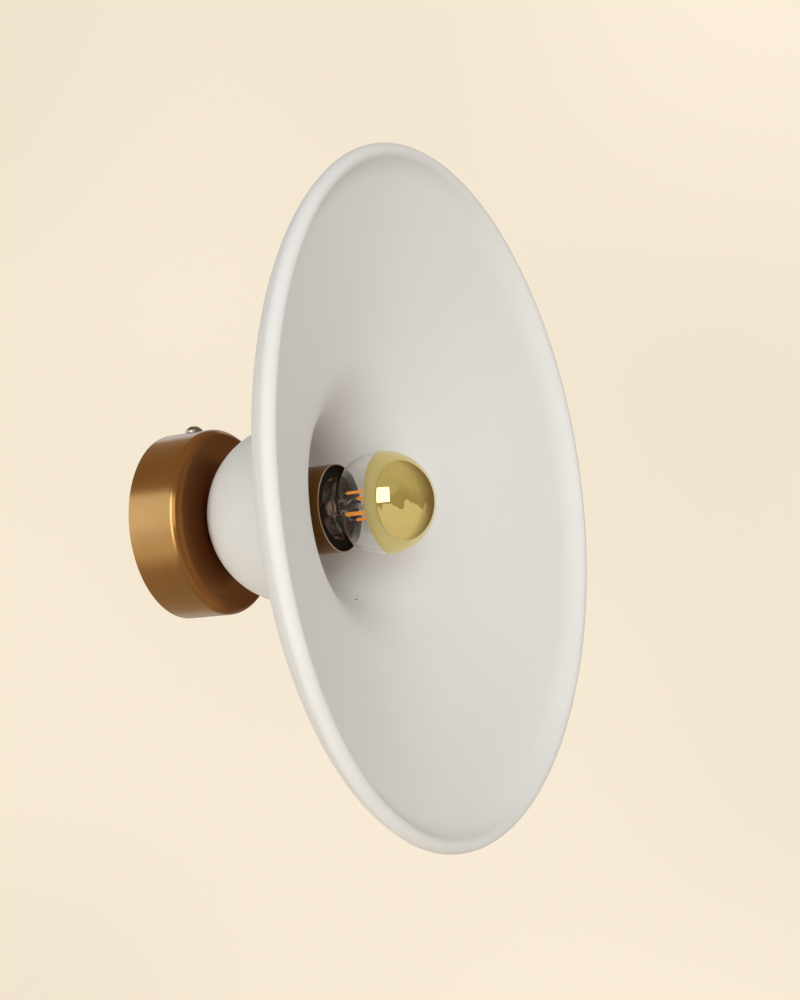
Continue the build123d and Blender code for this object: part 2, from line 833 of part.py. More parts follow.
pieces = {
    "wall_bracket": wall_bracket(),
    "canopy": canopy(),
    "canopy_screw": canopy_screw(),
    "nipple": nipple(),
    "canopy_nut": hex_nut(canopy_nut_back),
    "lock_washer": lock_washer(),
    "earth_tag": earth_tag(),
    "canopy_gasket": canopy_gasket(),
    "ceramic_shade": ceramic_shade(),
    "cup_gasket": cup_gasket(),
    "socket_cup": socket_cup(),
    "cup_nut": hex_nut(cup_floor),
    "holder_base": holder_base(),
    "holder_sleeve": holder_sleeve(),
    "contact_carrier": contact_carrier(),
    "screw_shell": screw_shell(),
    "centre_contact": centre_contact(),
    "side_contact": side_contact(),
    "terminal_screws": terminal_screws(),
    "live_wire": live_wire(),
    "neutral_wire": neutral_wire(),
    "earth_wire": earth_wire(),
    "terminal_block": terminal_block(),
    "block_tubes": block_tubes(),
    "block_clamp_screws": block_clamp_screws(),
    "block_screws": block_screws(),
    "earth_washer": earth_washer(),
    "earth_screw": earth_screw(),
    "bulb_cap": bulb_cap(),
    "cap_insulator": cap_insulator(),
    "cap_contact": cap_contact(),
    "bulb_glass": bulb_glass(),
    "mirror_crown": mirror_crown(),
    "bulb_stem": bulb_stem(),
    "led_filaments": led_filaments(),
    "lower_filament_wires": lower_filament_wires(),
    "upper_filament_wires": upper_filament_wires(),
    "driver_board": driver_board(),
    "driver_capacitor": driver_capacitor(),
    "driver_leads": driver_leads(),
}

os.makedirs("parts", exist_ok=True)
for name, shape in pieces.items():
    export_step(hang(shape), f"parts/{name}.step")
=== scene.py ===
from math import asin, cos, degrees, pi, radians, sin, sqrt

import bmesh
import bpy
from mathutils import Matrix, Vector


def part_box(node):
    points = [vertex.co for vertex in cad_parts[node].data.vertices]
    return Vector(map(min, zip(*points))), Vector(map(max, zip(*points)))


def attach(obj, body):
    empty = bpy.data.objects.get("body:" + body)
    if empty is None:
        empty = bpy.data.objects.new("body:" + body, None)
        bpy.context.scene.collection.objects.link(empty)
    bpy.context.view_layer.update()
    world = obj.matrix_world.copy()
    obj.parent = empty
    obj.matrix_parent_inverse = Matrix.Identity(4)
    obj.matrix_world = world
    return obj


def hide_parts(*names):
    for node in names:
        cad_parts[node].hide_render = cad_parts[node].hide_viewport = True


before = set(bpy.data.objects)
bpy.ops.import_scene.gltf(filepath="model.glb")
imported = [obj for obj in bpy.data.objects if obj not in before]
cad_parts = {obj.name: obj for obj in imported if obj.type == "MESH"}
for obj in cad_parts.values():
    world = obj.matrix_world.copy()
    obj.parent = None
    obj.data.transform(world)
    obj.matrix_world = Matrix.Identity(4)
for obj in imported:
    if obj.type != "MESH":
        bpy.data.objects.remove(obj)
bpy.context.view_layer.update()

# A ceramic wall light, in metres. Its back is in the plane y = 0, it points along -Y, and up is +Z.
# Outlines are lists of (radius, reach), where reach is the distance from that plane.

MM = 0.001

# Shade, with the sizes of its solid
SHADE_DIAMETER = 300 * MM
SHADE_WALL = 6.5 * MM
SHADE_BASE = 6.5 * MM
DOME_RADIUS = 40.5 * MM
SEAT_RADIUS = 20 * MM
THROAT_DROP = 2.5 * MM
THROAT_RADIUS = 48 * MM
CONE_SLOPE = 21
CURL_RADIUS = 15 * MM
CURL_ANGLE = 62
ROD_HOLE_RADIUS = 5.6 * MM
FOOT_ROUND = 0.8 * MM
RIM_WARP = 2.6 * MM  # the rim bends back above and below, from drying
RIM_OVAL = 0.8 * MM  # and stands a little less tall than wide
WARP_TURN = 0.19
WARP_GROWTH = 1.5  # the power by which the bend grows towards the rim
IRON_SPECK = (5.0 * MM, -83.7 * MM, -40.5 * MM)
SPECK_RADIUS = 0.6 * MM

# Canopy, socket cup and lamp holder
CANOPY_EDGE = 4.5 * MM
CUP_INSIDE = 19.05 * MM
# depth of the painted highlight at the front of the cup's rim
CUP_HIGHLIGHT_DEPTH = 0.35 * MM
HOLDER_BORE = 13.8 * MM

# Bulb
GLOBE_RADIUS = 22.5 * MM
GLASS_WALL = 0.8 * MM
NECK_RADIUS = 12.3 * MM
FLARE_RADIUS = 10.6 * MM
CROWN_LIFT = 0.1 * MM
CROWN_THICKNESS = 0.15 * MM
CROWN_EDGE = 2.4 * MM
CAP_INSIDE = 11.75 * MM

# Glass mount in the bulb's neck
STEM_FLARE = 11.2 * MM
STEM_WALL = 0.7 * MM
STEM_PRESS = 3.6 * MM
STEM_PRESS_LENGTH = 6.5 * MM
STEM_FLAT = 0.42  # the press's thickness, as a share of its width
STEM_RIDGE = 1.6 * MM
STEM_RIDGE_DEPTH = 0.07  # as a share of the press's radius
STEM_ROD = 1.2 * MM

# Filaments
FILAMENT_COUNT = 4
FILAMENT_CIRCLE = 6.8 * MM
FILAMENT_TURN = radians(31)
FILAMENT_WIDTH = 1.9 * MM
FILAMENT_THICKNESS = 1.0 * MM
BLUNT_END = 0.08  # square of the share that the coating narrows to at its ends
TAB_LENGTH = 1.6 * MM
TAB_BARE = 0.75  # share of a tab that stands out of the coating
TAB_WIDTH = 1.1 * MM
TAB_THICKNESS = 0.3 * MM
CHIP_PITCH = 1.05 * MM
CHIP_SWELL = 0.06 * MM

# Fineness of the meshes
TURN_STEPS = 256
BULB_STEPS = 192
ARC_STEP = 3
BASE_STEPS = 6
CONE_STEPS = 24
SEAT_STEPS = 4
NECK_STEPS = 4
FLARE_STEPS = 20
PRESS_STEPS = 24
CHIP_STEPS = 6
CORNER_STEPS = 6
TAB_CORNER_STEPS = 2
DISC_STEPS = 128
SHARP_EDGE = radians(35)
SAME_POINT = 1e-7


# Outlines and meshes
def arc(centre, radius, start, turn):
    """Points on an arc, from a start angle in degrees through a turn."""
    count = max(2, round(abs(turn) / ARC_STEP))
    points = []
    for i in range(count + 1):
        angle = radians(start + turn * i / count)
        points.append((centre[0] + radius * cos(angle), centre[1] + radius * sin(angle)))
    return points


def run(start, end, count):
    """Points on a straight line, without its ends."""
    return [
        (start[0] + (end[0] - start[0]) * i / count, start[1] + (end[1] - start[1]) * i / count)
        for i in range(1, count)
    ]


def spun_mesh(name, outline, steps, reshape=None):
    """A closed outline of (radius, reach) spun about the light's axis into a mesh."""
    vertices = []
    for i in range(steps):
        angle = 2 * pi * i / steps
        for radius, reach in outline:
            if reshape:
                radius, reach = reshape(radius, reach, angle)
            vertices.append((radius * cos(angle), -reach, radius * sin(angle)))
    count = len(outline)
    faces = []
    for i in range(steps):
        this_row = i * count
        next_row = (i + 1) % steps * count
        for j in range(count):
            k = (j + 1) % count
            faces.append((this_row + j, this_row + k, next_row + k, next_row + j))
    return finished_mesh(name, vertices, faces)


def finished_mesh(name, vertices, faces):
    """A smooth-shaded object whose edges stay crisp where its faces turn sharply."""
    mesh = bpy.data.meshes.new(name)
    mesh.from_pydata(vertices, [], faces)
    mesh.validate()
    tidy_mesh(mesh)
    mesh.shade_smooth()
    mesh.set_sharp_from_angle(angle=SHARP_EDGE)
    piece = bpy.data.objects.new(name, mesh)
    bpy.context.scene.collection.objects.link(piece)
    return piece


def tidy_mesh(mesh):
    """Join points that meet on the axis, drop the edges left there, and turn all faces outwards."""
    work = bmesh.new()
    work.from_mesh(mesh)
    bmesh.ops.remove_doubles(work, verts=work.verts, dist=SAME_POINT)
    loose = [edge for edge in work.edges if not edge.link_faces]
    bmesh.ops.delete(work, geom=loose, context="EDGES")
    bmesh.ops.recalc_face_normals(work, faces=work.faces)
    work.to_mesh(mesh)
    work.free()


# Shade
def shade_outline():
    """Hole, floor, bowl, throat, cone and curled lip, then back down the outside to the foot."""
    seat = -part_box("ceramic_shade")[1].y
    floor = seat + SHADE_BASE
    neck = DOME_RADIUS - SHADE_WALL
    slope = radians(CONE_SLOPE)
    curl = radians(CURL_ANGLE)
    dome_reach = seat + sqrt(DOME_RADIUS**2 - SEAT_RADIUS**2)
    throat_span = neck + THROAT_RADIUS
    throat = (sqrt(throat_span**2 - THROAT_DROP**2), dome_reach - THROAT_DROP)
    throat_angle = degrees(asin(THROAT_DROP / throat_span))
    lip = SHADE_WALL / 2
    cone_start = (throat[0] - sin(slope) * THROAT_RADIUS, throat[1] + cos(slope) * THROAT_RADIUS)
    curl_end_radius = SHADE_DIAMETER / 2 - lip * (1 + sin(curl))
    cone_end_radius = curl_end_radius - CURL_RADIUS * (sin(curl) - sin(slope))
    cone_length = (cone_end_radius - cone_start[0]) / cos(slope)
    cone_end = (cone_end_radius, cone_start[1] + cone_length * sin(slope))
    curl_centre = (cone_end[0] - sin(slope) * CURL_RADIUS, cone_end[1] + cos(slope) * CURL_RADIUS)
    lip_circle = CURL_RADIUS + lip
    lip_centre = (curl_centre[0] + sin(curl) * lip_circle, curl_centre[1] - cos(curl) * lip_circle)
    back_end = (cone_end[0] + sin(slope) * SHADE_WALL, cone_end[1] - cos(slope) * SHADE_WALL)
    back_start = (cone_start[0] + sin(slope) * SHADE_WALL, cone_start[1] - cos(slope) * SHADE_WALL)
    floor_radius = sqrt(neck**2 - (dome_reach - floor) ** 2)
    floor_angle = degrees(asin((dome_reach - floor) / neck))
    seat_angle = degrees(asin((dome_reach - seat) / DOME_RADIUS))
    points = [(ROD_HOLE_RADIUS, seat), (ROD_HOLE_RADIUS, floor)]
    points += run((ROD_HOLE_RADIUS, floor), (floor_radius, floor), BASE_STEPS)
    points += arc((0, dome_reach), neck, -floor_angle, floor_angle - throat_angle)
    points += arc(throat, THROAT_RADIUS, 180 - throat_angle, CONE_SLOPE + throat_angle - 90)[1:]
    points += run(cone_start, cone_end, CONE_STEPS)
    points += arc(curl_centre, CURL_RADIUS, CONE_SLOPE - 90, CURL_ANGLE - CONE_SLOPE)
    points += arc(lip_centre, lip, CURL_ANGLE + 90, -180)[1:-1]
    points += arc(curl_centre, CURL_RADIUS + SHADE_WALL, CURL_ANGLE - 90, CONE_SLOPE - CURL_ANGLE)
    points += run(back_end, back_start, CONE_STEPS)
    points += arc(throat, THROAT_RADIUS - SHADE_WALL, 90 + CONE_SLOPE, 90 - CONE_SLOPE - throat_angle)
    foot_angle = seat_angle - degrees(FOOT_ROUND / DOME_RADIUS)
    points += arc((0, dome_reach), DOME_RADIUS, -throat_angle, throat_angle - foot_angle)[1:]
    points += [(SEAT_RADIUS - FOOT_ROUND / 2, seat)]
    points += run((SEAT_RADIUS - FOOT_ROUND / 2, seat), (ROD_HOLE_RADIUS, seat), SEAT_STEPS)
    return points


def hand_thrown(radius, reach, angle):
    """The wheel-thrown dish is a little out of true, growing towards the rim and never forwards."""
    grow = max(0, (radius - DOME_RADIUS) / (SHADE_DIAMETER / 2 - DOME_RADIUS))
    bend = RIM_WARP * grow**WARP_GROWTH * sin(angle + WARP_TURN) ** 2
    return radius - RIM_OVAL * grow * sin(angle) ** 2, reach - bend


def make_shade():
    shade = spun_mesh("shade", shade_outline(), TURN_STEPS, hand_thrown)
    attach(shade, "fixture")
    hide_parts("ceramic_shade")
    return shade


# Bulb
def globe_centre():
    """The globe touches the front of its glass node."""
    return -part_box("bulb_glass")[0].y - GLOBE_RADIUS


def glass_side(inset):
    """Neck, flare and globe of the bulb, inside the outer face by an inset."""
    back = -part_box("bulb_glass")[1].y
    reach = sqrt((GLOBE_RADIUS + FLARE_RADIUS) ** 2 - (NECK_RADIUS + FLARE_RADIUS) ** 2)
    neck_front = globe_centre() - reach
    flare_turn = degrees(asin(reach / (GLOBE_RADIUS + FLARE_RADIUS)))
    neck = NECK_RADIUS - inset
    flare_centre = (NECK_RADIUS + FLARE_RADIUS, neck_front)
    points = [(neck, back)] + run((neck, back), (neck, neck_front), NECK_STEPS)
    points += arc(flare_centre, FLARE_RADIUS + inset, 180, -flare_turn)
    points += arc((0, globe_centre()), GLOBE_RADIUS - inset, -flare_turn, 90 + flare_turn)[1:]
    return points


def make_globe():
    """The clear glass. It casts no shadow, so that light passes straight through it."""
    outline = glass_side(0) + glass_side(GLASS_WALL)[::-1]
    globe = spun_mesh("bulb_globe", outline, BULB_STEPS)
    globe.visible_shadow = False
    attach(globe, "bulb")
    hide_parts("bulb_glass")
    return globe


def make_crown():
    """The mirrored coating, a thin cap with a rounded edge."""
    inner = GLOBE_RADIUS + CROWN_LIFT
    outer = inner + CROWN_THICKNESS
    inner_edge = degrees(asin(CROWN_EDGE / inner))
    outer_edge = degrees(asin((CROWN_EDGE + CROWN_THICKNESS / 2) / outer))
    centre = (0, globe_centre())
    outline = arc(centre, outer, outer_edge, 90 - outer_edge)
    outline += arc(centre, inner, 90, inner_edge - 90)
    crown = spun_mesh("gold_crown", outline, BULB_STEPS)
    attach(crown, "bulb")
    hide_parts("mirror_crown")
    return crown


def make_stem():
    """The glass mount: a thin flare that closes the neck, a flat ridged press and a rod."""
    low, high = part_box("bulb_stem")
    back, front = -high.y, -low.y
    press_front = -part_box("led_filaments")[1].y - STEM_ROD
    flare_front = press_front - STEM_PRESS_LENGTH
    sweep = flare_front - back - STEM_WALL
    edge = STEM_FLARE - STEM_PRESS
    outside = []
    inside = []
    for i in range(FLARE_STEPS + 1):
        angle = pi / 2 * i / FLARE_STEPS
        radius = STEM_FLARE - edge * sin(angle)
        reach = flare_front - sweep * cos(angle)
        outside.append((radius, reach))
        inside.append((max(0, radius - STEM_WALL), reach - STEM_WALL))

    def pinched(radius, reach, angle):
        """The press is squeezed flat from the sides, with a few ridges across it."""
        share = min(1, max(0, (reach - flare_front) / STEM_RIDGE))
        if reach > press_front or radius <= STEM_ROD:
            share = 0
        flat = 1 - share * (1 - STEM_FLAT) * cos(angle) ** 2
        ridge = 1 + STEM_RIDGE_DEPTH * share * sin(2 * pi * (reach - flare_front) / STEM_RIDGE)
        return radius * flat * ridge, reach

    outline = outside + run((STEM_PRESS, flare_front), (STEM_PRESS, press_front), PRESS_STEPS)
    outline += [(STEM_PRESS, press_front), (STEM_ROD, press_front), (STEM_ROD, front), (0, front)]
    outline += [(0, flare_front - STEM_WALL)] + inside[::-1]
    stem = spun_mesh("glass_mount", outline, BULB_STEPS // 2, pinched)
    stem.visible_shadow = False
    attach(stem, "bulb")
    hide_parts("bulb_stem")
    return stem


# Filaments
def rounded_section(width, thickness, corner_steps):
    """A flat oval of points, width across and thickness deep."""
    half = thickness / 2
    side = width / 2 - half
    points = []
    for i in range(2 * corner_steps + 1):
        angle = pi / 2 - pi * i / (2 * corner_steps)
        points.append((side + half * cos(angle), half * sin(angle)))
    return points + [(-x, -y) for x, y in points]


def swept_strip(sections):
    """Faces between sections of equal count, with flat ends."""
    count = len(sections[0])
    vertices = [point for section in sections for point in section]
    faces = []
    for row in range(len(sections) - 1):
        for j in range(count):
            k = (j + 1) % count
            low = row * count
            high = low + count
            faces.append((low + j, low + k, high + k, high + j))
    faces.append(tuple(range(count)))
    last = (len(sections) - 1) * count
    faces.append(tuple(last + j for j in reversed(range(count))))
    return vertices, faces


def around_filaments(vertices, faces):
    """Copies of a strip on the filaments' circle. A strip is drawn as (tangent, radius, reach)."""
    all_vertices = []
    all_faces = []
    for copy in range(FILAMENT_COUNT):
        angle = FILAMENT_TURN + 2 * pi * copy / FILAMENT_COUNT
        first = len(all_vertices)
        for across, out, reach in vertices:
            x = out * cos(angle) - across * sin(angle)
            z = out * sin(angle) + across * cos(angle)
            all_vertices.append((x, -reach, z))
        all_faces += [tuple(first + j for j in face) for face in faces]
    return all_vertices, all_faces


def coated_sections(back, front):
    """Sections of a coated strip: rounded ends, and a slight swelling over each LED chip."""
    length = front - back
    rows = round(length / CHIP_PITCH) * CHIP_STEPS
    sections = []
    for i in range(rows + 1):
        reach = back + length * i / rows
        end = min(reach - back, front - reach, FILAMENT_THICKNESS) / FILAMENT_THICKNESS
        taper = sqrt(max(BLUNT_END, 1 - (1 - end) ** 2))
        swell = CHIP_SWELL * (1 - cos(2 * pi * (reach - back) / CHIP_PITCH)) / 2
        width = (FILAMENT_WIDTH - 2 * CHIP_SWELL) * taper + swell
        thickness = (FILAMENT_THICKNESS - 2 * CHIP_SWELL) * taper + swell
        section = rounded_section(width, thickness, CORNER_STEPS)
        sections.append([(x, FILAMENT_CIRCLE + y, reach) for x, y in section])
    return sections


def make_filaments():
    """The coated strips, and the metal tabs at their ends."""
    low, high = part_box("led_filaments")
    back, front = -high.y, -low.y
    inset = TAB_LENGTH * TAB_BARE
    strips = swept_strip(coated_sections(back + inset, front - inset))
    filaments = finished_mesh("filament_strips", *around_filaments(*strips))
    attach(filaments, "bulb")
    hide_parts("led_filaments")
    section = rounded_section(TAB_WIDTH, TAB_THICKNESS, TAB_CORNER_STEPS)
    vertices = []
    faces = []
    for start, end in ((back, back + TAB_LENGTH), (front - TAB_LENGTH, front)):
        rows = [[(x, FILAMENT_CIRCLE + y, reach) for x, y in section] for reach in (start, end)]
        tab_vertices, tab_faces = swept_strip(rows)
        faces += [tuple(len(vertices) + j for j in face) for face in tab_faces]
        vertices += tab_vertices
    tabs = finished_mesh("filament_tabs", *around_filaments(vertices, faces))
    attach(tabs, "bulb")
    return filaments, tabs


# Materials. A pair of colours goes from dark to pale.
CERAMIC = ((0.85, 0.838, 0.815), (0.88, 0.868, 0.85))
IRON = (0.07, 0.05, 0.04, 1)
SPECK_CELLS = 45.0  # cells to a metre that may hold a small speck
SPECK_REACH = 0.022  # the speck's radius, as a share of its cell
SPECK_RARITY = 0.95  # share of the cells that hold none
CANOPY_SIDE = ((0.27, 0.15, 0.054), (0.33, 0.188, 0.072))
# painted shade: a darker, redder copy of the side's brass, for the canopy's front face
CANOPY_FRONT_SHADE = ((0.275, 0.11, 0.031), (0.33, 0.137, 0.041))
FRONT_SHADE_STARTS = 0.8 * CANOPY_EDGE  # the side's colour gives way to the front's painted shade on the rounded edge
FRONT_SHADE_FULL = 0.3 * CANOPY_EDGE
CUP_OUTSIDE = ((0.30, 0.15, 0.045), (0.38, 0.2, 0.065))
# painted highlight on the cup's rim
CUP_RIM_HIGHLIGHT = (0.66, 0.56, 0.42, 1)
# painted shade: the cup's inside is painted black
CUP_INSIDE_SHADE = (0.006, 0.005, 0.004, 1)
BRASS_CLOUD = 28
BRASS_STOPS = (0.28, 0.72)
TURNING_LINES = 5200
CAP_NICKEL = ((0.60, 0.58, 0.54), (0.70, 0.68, 0.64))
CAP_CEMENT = ((0.1, 0.05, 0.04), (0.17, 0.09, 0.07))
GOLD = ((0.77, 0.65, 0.265), (0.81, 0.695, 0.3))
GLASS_IOR = 1.46
CLEAR_GLASS = ((0.985, 0.99, 0.985), (1, 1, 1))
PRESSED_GLASS = ((0.93, 0.93, 0.93), (1, 1, 1))
FLARE_BROWN = (0.24, 0.11, 0.09, 1)
PHENOLIC_BLACK = ((0.008, 0.0045, 0.003), (0.014, 0.008, 0.0055))
PHENOLIC_BROWN = ((0.12, 0.05, 0.04), (0.2, 0.09, 0.07))
MIX_SHARE, MIX_FIRST, MIX_SECOND, MIX_RESULT = 0, 6, 7, 2  # sockets of a colour mix


class Finish:
    """A material of nodes around one principled shader."""

    def __init__(self, name, **constants):
        self.material = bpy.data.materials.new("finish_" + name)
        self.material.use_nodes = True
        self.tree = self.material.node_tree
        self.shader = self.tree.nodes["Principled BSDF"]
        for socket, value in constants.items():
            self.shader.inputs[socket.replace("_", " ")].default_value = value

    def node(self, kind, **inputs):
        """A new node, with each input set to a number or linked to another node's output."""
        made = self.tree.nodes.new("ShaderNode" + kind)
        for socket, value in inputs.items():
            self.give(made.inputs[socket.replace("_", " ")], value)
        return made

    def give(self, socket, value):
        """Set a socket to a number or a colour, or link it to another node's output."""
        if isinstance(value, bpy.types.NodeSocket):
            self.tree.links.new(value, socket)
        else:
            socket.default_value = value

    def place(self):
        """The point's place in the piece's own frame."""
        return self.node("TexCoord").outputs["Object"]

    def noise(self, scale, detail=3, place=None):
        made = self.node("TexNoise", Vector=place or self.place(), Scale=scale, Detail=detail)
        return made.outputs["Fac"]

    def spread(self, value, low, high, start=0.3, stop=0.7):
        """A value, from start to stop, spread over another range."""
        made = self.node("MapRange", Value=value, From_Min=start, From_Max=stop, To_Min=low, To_Max=high)
        return made.outputs["Result"]

    def tones(self, value, *stops):
        """A colour ramp through (position, colour) stops."""
        made = self.node("ValToRGB", Fac=value)
        ramp = made.color_ramp
        while len(ramp.elements) < len(stops):
            ramp.elements.new(0.5)
        for element, (position, colour) in zip(ramp.elements, stops):
            element.position = position
            element.color = (*colour, 1)
        return made.outputs["Color"]

    def between(self, value, pair, start=0.3, stop=0.7):
        """A colour between a pair, as a value goes from start to stop."""
        return self.tones(value, (start, pair[0]), (stop, pair[1]))

    def mixed(self, share, first, second):
        """A colour between two others."""
        made = self.node("Mix")
        made.data_type = "RGBA"
        self.give(made.inputs[MIX_SHARE], share)
        self.give(made.inputs[MIX_FIRST], first)
        self.give(made.inputs[MIX_SECOND], second)
        return made.outputs[MIX_RESULT]

    def maths(self, operation, first, second):
        made = self.node("Math")
        made.operation = operation
        self.give(made.inputs[0], first)
        self.give(made.inputs[1], second)
        return made.outputs["Value"]

    def depth(self):
        """The point's Y, which is lowest at the front of the light."""
        return self.node("SeparateXYZ", Vector=self.place()).outputs["Y"]

    def radius(self):
        """The point's distance from the light's axis."""
        split = self.node("SeparateXYZ", Vector=self.place())
        flat = self.node("CombineXYZ", X=split.outputs["X"], Y=split.outputs["Z"])
        made = self.node("VectorMath", Vector=flat.outputs["Vector"])
        made.operation = "LENGTH"
        return made.outputs["Value"]

    def turned_place(self):
        """Radius and depth as a place, for marks that run round a spun piece."""
        return self.node("CombineXYZ", X=self.radius(), Y=self.depth()).outputs["Vector"]

    def colour(self, value):
        self.give(self.shader.inputs["Base Color"], value)

    def rough(self, value, low, high, start=0.3, stop=0.7):
        """Roughness from low to high, as a value goes from start to stop."""
        self.give(self.shader.inputs["Roughness"], self.spread(value, low, high, start, stop))

    def bumps(self, *layers):
        """Stacked bumps, each (height, depth in metres, strength)."""
        normal = None
        for height, depth, strength in layers:
            bump = self.node("Bump", Height=height, Distance=depth, Strength=strength)
            if normal:
                self.give(bump.inputs["Normal"], normal)
            normal = bump.outputs["Normal"]
        self.give(self.shader.inputs["Normal"], normal)


def plain_finish(name, pair, grain, rough, bump, **constants):
    """Two close tones in a fine grain, with roughness and a shallow bump of finer grain."""
    finish = Finish(name, **constants)
    finish.colour(finish.between(finish.noise(grain), pair))
    finish.rough(finish.noise(grain * 2), *rough)
    finish.bumps((finish.noise(grain * 3, detail=2), bump, 0.5))
    return finish.material


def ceramic_finish():
    """Unglazed bisque: a soft uneven white, a fine tooth, faint turning marks and a few iron specks."""
    finish = Finish("ceramic", Specular_IOR_Level=0.3)
    cloudy = finish.between(finish.noise(14, detail=4), CERAMIC)
    cells = finish.node("TexVoronoi", Vector=finish.place(), Scale=SPECK_CELLS)
    tint = finish.node("SeparateColor", Color=cells.outputs["Color"])
    near = finish.maths("LESS_THAN", cells.outputs["Distance"], SPECK_REACH)
    chosen = finish.maths("GREATER_THAN", tint.outputs["Red"], SPECK_RARITY)
    large = finish.node("VectorMath", Vector=finish.place())
    large.operation = "DISTANCE"
    large.inputs[1].default_value = IRON_SPECK
    iron = finish.maths("LESS_THAN", large.outputs["Value"], SPECK_RADIUS)
    speck = finish.maths("MAXIMUM", iron, finish.maths("MULTIPLY", near, chosen))
    finish.colour(finish.mixed(speck, cloudy, IRON))
    finish.rough(finish.noise(220), low=0.78, high=0.9)
    turning = finish.noise(420, detail=2, place=finish.turned_place())
    finish.bumps(
        (finish.noise(30, detail=2), 0.6 * MM, 0.12),
        (turning, 0.12 * MM, 0.12),
        (finish.noise(1800, detail=2), 0.08 * MM, 0.35),
    )
    return finish.material


def canopy_finish():
    """Satin spun brass with fine turning lines and a cloudy antique lacquer. The front face is a darker,
    redder brass, painted shade.
    """
    finish = Finish("antique_brass", Metallic=1.0)
    lines = finish.noise(TURNING_LINES, detail=2, place=finish.turned_place())
    cloud = finish.noise(BRASS_CLOUD, detail=4)
    side = finish.between(cloud, CANOPY_SIDE, *BRASS_STOPS)
    front = finish.between(cloud, CANOPY_FRONT_SHADE, *BRASS_STOPS)
    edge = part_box("canopy")[0].y
    # painted shade: the front face and the inner part of its rounded edge take the darker, redder brass
    share = finish.spread(finish.depth(), 1, 0, edge + FRONT_SHADE_FULL, edge + FRONT_SHADE_STARTS)
    finish.colour(finish.mixed(share, side, front))
    both = finish.maths("MULTIPLY", lines, finish.spread(cloud, 0.85, 1.1))
    finish.rough(both, low=0.19, high=0.26)
    finish.bumps((lines, 0.02 * MM, 0.25))
    return finish.material


def cup_finish():
    """Antique brass outside. The inside is painted black, painted shade, and a pale line round the rim
    is a painted highlight.
    """
    finish = Finish("cup_brass")
    # painted shade: inside this radius the cup is painted black and is not metal
    bare = finish.maths("GREATER_THAN", finish.radius(), CUP_INSIDE)
    # painted highlight: a pale line at the front of the rim
    rim_highlight = finish.maths("LESS_THAN", finish.depth(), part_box("socket_cup")[0].y + CUP_HIGHLIGHT_DEPTH)
    brass = finish.between(finish.noise(BRASS_CLOUD, detail=4), CUP_OUTSIDE, *BRASS_STOPS)
    finish.colour(finish.mixed(bare, CUP_INSIDE_SHADE, finish.mixed(rim_highlight, brass, CUP_RIM_HIGHLIGHT)))
    finish.give(finish.shader.inputs["Metallic"], bare)
    lines = finish.noise(TURNING_LINES, detail=2, place=finish.turned_place())
    finish.rough(lines, low=0.22, high=0.34)
    finish.bumps((lines, 0.02 * MM, 0.25))
    return finish.material


def cap_finish():
    """Nickel outside, and dark basing cement on the cap's inside."""
    finish = Finish("cap_nickel")
    bare = finish.maths("GREATER_THAN", finish.radius(), CAP_INSIDE)
    nickel = finish.between(finish.noise(220), CAP_NICKEL)
    cement = finish.between(finish.noise(500), CAP_CEMENT)
    finish.colour(finish.mixed(bare, cement, nickel))
    finish.give(finish.shader.inputs["Metallic"], bare)
    finish.rough(bare, low=0.8, high=0.22, start=0, stop=1)
    finish.bumps((finish.noise(660, detail=2), 0.02 * MM, 0.5))
    return finish.material


def gold_finish():
    """The mirror coating: polished pale gold, with the slightest unevenness of blown glass."""
    finish = Finish("gold_mirror", Metallic=1.0)
    finish.colour(finish.between(finish.noise(90, detail=2), GOLD))
    finish.rough(finish.noise(400), low=0.015, high=0.035)
    finish.bumps((finish.noise(60, detail=1), 0.4 * MM, 0.03))
    return finish.material


def glass_finish():
    """Clear blown glass with faint ripples."""
    finish = Finish("clear_glass", Transmission_Weight=1.0, IOR=GLASS_IOR)
    finish.colour(finish.between(finish.noise(70, detail=2), CLEAR_GLASS))
    finish.rough(finish.noise(300), low=0.0, high=0.01)
    finish.bumps((finish.noise(80, detail=1), 0.3 * MM, 0.04))
    return finish.material


def mount_finish():
    """Pressed glass, crinkled where the tongs squeezed it. Its flare is tinted dark brown."""
    finish = Finish("mount_glass", Transmission_Weight=1.0, IOR=GLASS_IOR)
    flare_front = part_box("led_filaments")[1].y + STEM_PRESS_LENGTH
    flare = finish.maths("GREATER_THAN", finish.depth(), flare_front)
    clear = finish.between(finish.noise(300, detail=2), PRESSED_GLASS)
    finish.colour(finish.mixed(flare, clear, FLARE_BROWN))
    finish.rough(finish.noise(700), low=0.04, high=0.3)
    finish.bumps((finish.noise(900, detail=2), 0.4 * MM, 0.5))
    return finish.material


def phenolic_finish():
    """Black moulded phenolic, brown in the bore round the bulb's neck."""
    finish = Finish("black_phenolic", Specular_IOR_Level=0.03)
    bore = finish.maths("LESS_THAN", finish.radius(), HOLDER_BORE)
    grain = finish.noise(260)
    black = finish.between(grain, PHENOLIC_BLACK)
    brown = finish.between(grain, PHENOLIC_BROWN)
    finish.colour(finish.mixed(bore, black, brown))
    finish.rough(finish.noise(520), low=0.42, high=0.55)
    finish.bumps((finish.noise(780, detail=2), 0.04 * MM, 0.5))
    return finish.material


